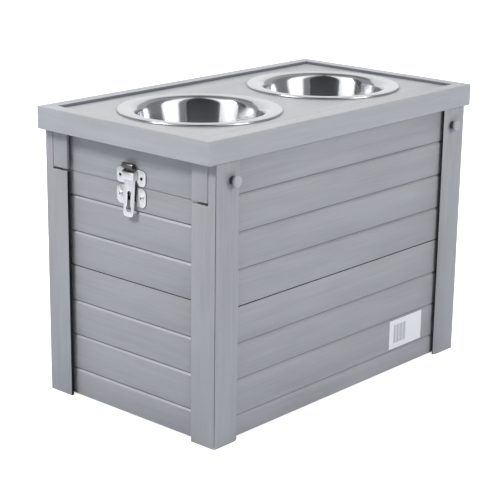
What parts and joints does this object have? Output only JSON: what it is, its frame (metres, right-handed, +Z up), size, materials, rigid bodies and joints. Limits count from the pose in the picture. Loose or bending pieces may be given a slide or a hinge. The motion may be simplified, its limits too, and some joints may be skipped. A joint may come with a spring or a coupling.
{
  "type": "elevated dog feeder with storage",
  "caption": "Raised pet feeder: a hinged framed tray holds lift-out steel bowls over a grooved storage chest on corner posts, closed by a drop hasp",
  "frame": {"origin": "Centre of the footprint, on the floor under the corner posts", "axes": "+Z is up. +X runs along the long side, from the front end with the hasp to the back end with the hinges. +Y runs across, towards the left side"},
  "size_m": [0.6, 0.36, 0.438],
  "materials": {
    "composite_posts": "extruded grey wood composite, satin",
    "composite_wall_boards": "extruded grey wood composite, satin, grooved",
    "composite_lid_rails": "extruded grey wood composite, satin",
    "composite_tray": "grey wood composite board, satin",
    "composite_inner_boards": "sawn grey wood composite",
    "moulded_pegs": "moulded grey plastic",
    "polished_stainless": "mirror-polished stainless steel",
    "white_zinc_hasp": "bright plated steel, off-white",
    "zinc_plated_steel": "bright zinc-plated steel"
  },
  "bodies": {
    "base": {"front_left_post_face": "composite_posts", "front_left_post_side": "composite_posts", "front_right_post_face": "composite_posts", "front_right_post_side": "composite_posts", "back_left_post_face": "composite_posts", "back_left_post_side": "composite_posts", "back_right_post_face": "composite_posts", "back_right_post_side": "composite_posts", "left_wall_lower": "composite_wall_boards", "left_wall_upper": "composite_wall_boards", "right_wall_lower": "composite_wall_boards", "right_wall_upper": "composite_wall_boards", "front_wall_lower": "composite_wall_boards", "front_wall_upper": "composite_wall_boards", "back_wall_lower": "composite_wall_boards", "back_wall_upper": "composite_wall_boards", "floor_board": "composite_inner_boards", "floor_cleats": "composite_inner_boards", "assembly_pegs": "moulded_pegs", "hasp_keeper": "white_zinc_hasp", "hasp_stud": "zinc_plated_steel", "keeper_screws": "zinc_plated_steel", "hinge_rail": "composite_inner_boards", "back_hinge_leaves": "zinc_plated_steel", "hinge_pins": "zinc_plated_steel", "back_hinge_screws": "zinc_plated_steel"},
    "lid": {"lid_front_rail": "composite_lid_rails", "lid_back_rail": "composite_lid_rails", "lid_left_rail": "composite_lid_rails", "lid_right_rail": "composite_lid_rails", "tray_board": "composite_tray", "tray_batten": "composite_inner_boards", "hinge_cleat": "composite_inner_boards", "apron_cleat": "composite_inner_boards", "apron_board": "composite_wall_boards", "apron_left_block": "composite_posts", "apron_right_block": "composite_posts", "apron_screws": "zinc_plated_steel", "hasp_guide": "white_zinc_hasp", "guide_screws": "zinc_plated_steel", "lid_hinge_leaves": "zinc_plated_steel", "lid_hinge_screws": "zinc_plated_steel"},
    "hasp_pin": {"hasp_pin": "zinc_plated_steel"},
    "hasp_bar": {"hasp_bar": "white_zinc_hasp"},
    "front_bowl": {"front_bowl": "polished_stainless"},
    "back_bowl": {"back_bowl": "polished_stainless"}
  },
  "joints": [
    {"name": "lid_hinge", "type": "hinge", "parent": "base", "child": "lid", "pos_m": [0.2895, 0, 0.4015], "axis": [0, 1, 0], "range_deg": [0, 100]},
    {"name": "hasp_lift", "type": "slide", "parent": "lid", "child": "hasp_pin", "axis": [0, 0, 1], "range_m": [0, 0.021]},
    {"name": "hasp_swing", "type": "hinge", "parent": "hasp_pin", "child": "hasp_bar", "pos_m": [-0.28261, 0, 0.375], "axis": [0, 1, 0], "range_deg": [-0.3, 1.5]},
    {"name": "front_bowl_lift", "type": "slide", "parent": "lid", "child": "front_bowl", "axis": [0, 0, 1], "range_m": [0, 0.1]},
    {"name": "back_bowl_lift", "type": "slide", "parent": "lid", "child": "back_bowl", "axis": [0, 0, 1], "range_m": [0, 0.1]}
  ]
}
